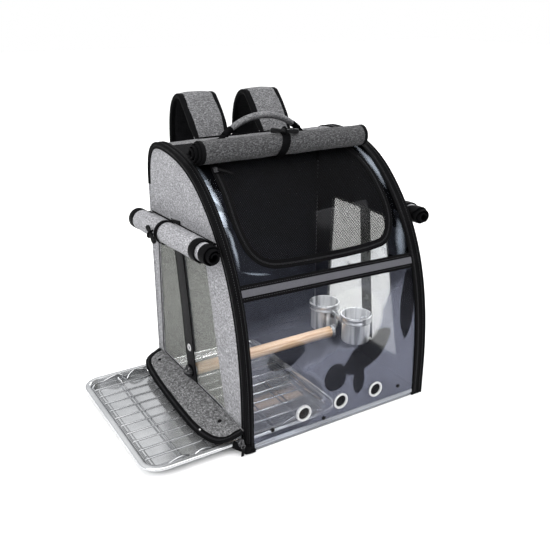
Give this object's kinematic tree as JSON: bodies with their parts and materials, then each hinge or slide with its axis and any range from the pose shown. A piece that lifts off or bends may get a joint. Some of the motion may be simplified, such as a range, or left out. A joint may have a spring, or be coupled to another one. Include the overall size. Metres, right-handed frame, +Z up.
{
  "type": "bird travel carrier",
  "caption": "Soft backpack carrier for a bird, with a curved clear front, mesh door, roll-up covers, perch, cups and a pull-out steel tray with a rack.",
  "frame": {"origin": "centre of the soft body's footprint, on the surface it stands on", "axes": "+X to the carrier's right side as seen from the front, away from the tray; -Y is the front with the clear panel; +Z up"},
  "size_m": [0.5472, 0.415, 0.4805],
  "materials": {
    "grey_fabric": "melange weave",
    "black_fabric": "woven binding",
    "clear_film": "clear flexible film",
    "window_film": "translucent film",
    "black_mesh": "open mesh",
    "reflective_tape": "grey reflective tape",
    "eyelet_metal": "bright",
    "black_plastic": "satin",
    "black_metal": "painted",
    "steel": "polished",
    "rack_wire": "bright wire",
    "wood": "bare"
  },
  "bodies": {
    "carrier": {"base_board": "black_fabric", "back_panel": "grey_fabric", "top_panel": "grey_fabric", "left_side_panel": "grey_fabric", "right_side_panel": "grey_fabric", "left_zip_band": "black_fabric", "right_zip_band": "black_fabric", "left_hoop": "black_plastic", "right_hoop": "black_plastic", "left_window_film": "window_film", "right_window_film": "window_film", "left_webbing": "black_fabric", "right_webbing": "black_fabric", "webbing_eyelets": "eyelet_metal", "front_clear_upper": "clear_film", "front_clear_lower": "clear_film", "reflective_band": "reflective_tape", "vent_eyelets": "eyelet_metal", "vent_mesh": "black_mesh", "film_rivets": "black_plastic", "front_cover_roll": "grey_fabric", "front_roll_loop": "black_fabric", "left_cover_roll": "grey_fabric", "left_roll_loop": "black_fabric", "right_cover_roll": "grey_fabric", "right_roll_loop": "black_fabric", "perch_dowel": "wood", "perch_bolt": "steel", "perch_washer": "steel", "perch_bracket": "steel", "cup_ring_front": "steel", "cup_ring_rear": "steel", "cup_clamp_bolt": "black_metal", "flap_slider": "black_metal", "handle_anchors": "black_fabric", "left_strap_pad": "grey_fabric", "right_strap_pad": "grey_fabric", "left_strap_webbing": "black_fabric", "right_strap_webbing": "black_fabric", "strap_adjusters": "black_plastic"},
    "tray_drawer": {"tray": "steel", "wire_rack": "rack_wire"},
    "flap": {"tray_flap": "grey_fabric", "flap_rivets": "black_plastic"},
    "perch_nut": {"perch_knob": "black_plastic"},
    "front_cup": {"cup_front": "steel"},
    "rear_cup": {"cup_rear": "steel"},
    "wall_fixing": {"wall_screw": "black_plastic"},
    "handle": {"carry_handle": "grey_fabric", "handle_sleeves": "black_fabric"},
    "mesh_door": {"door_mesh": "black_mesh", "door_zip_frame": "black_fabric"},
    "zip_runner": {"door_slider": "black_metal"},
    "zip_tab": {"door_pull": "black_metal"},
    "flap_tab": {"flap_pull": "black_metal"},
    "top_toggle": {"front_toggle": "black_plastic"},
    "left_bar": {"left_toggle": "black_plastic"},
    "right_bar": {"right_toggle": "black_plastic"}
  },
  "joints": [
    {"name": "tray_slide", "type": "slide", "parent": "carrier", "child": "tray_drawer", "axis": [-1, 0, 0], "range_m": [-0.153, 0.1]},
    {"name": "flap_hinge", "type": "hinge", "parent": "carrier", "child": "flap", "pos_m": [-0.1752, 0, 0.0375], "axis": [0, 1, 0], "range_deg": [0, 35]},
    {"name": "perch_knob_turn", "type": "hinge", "parent": "carrier", "child": "perch_nut", "pos_m": [-0.18, 0.018, 0.057], "axis": [1, 0, 0], "continuous": true},
    {"name": "front_cup_lift", "type": "slide", "parent": "carrier", "child": "front_cup", "axis": [0, 0, 1], "range_m": [0, 0.06]},
    {"name": "rear_cup_lift", "type": "slide", "parent": "carrier", "child": "rear_cup", "axis": [0, 0, 1], "range_m": [0, 0.06]},
    {"name": "wall_screw_turn", "type": "hinge", "parent": "carrier", "child": "wall_fixing", "pos_m": [0.17, -0.01, 0.082], "axis": [1, 0, 0], "continuous": true},
    {"name": "handle_fold", "type": "hinge", "parent": "carrier", "child": "handle", "pos_m": [0, 0.08, 0.425], "axis": [1, 0, 0], "range_deg": [-75, 75]},
    {"name": "door_hinge", "type": "hinge", "parent": "carrier", "child": "mesh_door", "pos_m": [0, -0.0035, 0.3942], "axis": [-1, 0, 0], "range_deg": [0, 46]},
    {"name": "door_slider_slide", "type": "slide", "parent": "mesh_door", "child": "zip_runner", "axis": [0, -0.8616, -0.5075], "range_m": [0, 0.025]},
    {"name": "door_pull_swing", "type": "hinge", "parent": "zip_runner", "child": "zip_tab", "pos_m": [-0.1345, -0.00925, 0.39012], "axis": [0, -0.5075, 0.8616], "range_deg": [-45, 38]},
    {"name": "flap_pull_swing", "type": "hinge", "parent": "carrier", "child": "flap_tab", "pos_m": [-0.181, -0.1668, 0.021], "axis": [0, 1, 0], "range_deg": [-80, 80]},
    {"name": "front_toggle_turn", "type": "hinge", "parent": "carrier", "child": "top_toggle", "pos_m": [-0.01, -0.005, 0.43939], "axis": [0, -0.342, 0.9397], "range_deg": [-90, 90]},
    {"name": "left_toggle_turn", "type": "hinge", "parent": "carrier", "child": "left_bar", "pos_m": [-0.2188, 0.047, 0.2922], "axis": [-1, 0, 0], "range_deg": [-90, 90]},
    {"name": "right_toggle_turn", "type": "hinge", "parent": "carrier", "child": "right_bar", "pos_m": [0.2188, 0.047, 0.2922], "axis": [1, 0, 0], "range_deg": [-90, 90]}
  ]
}
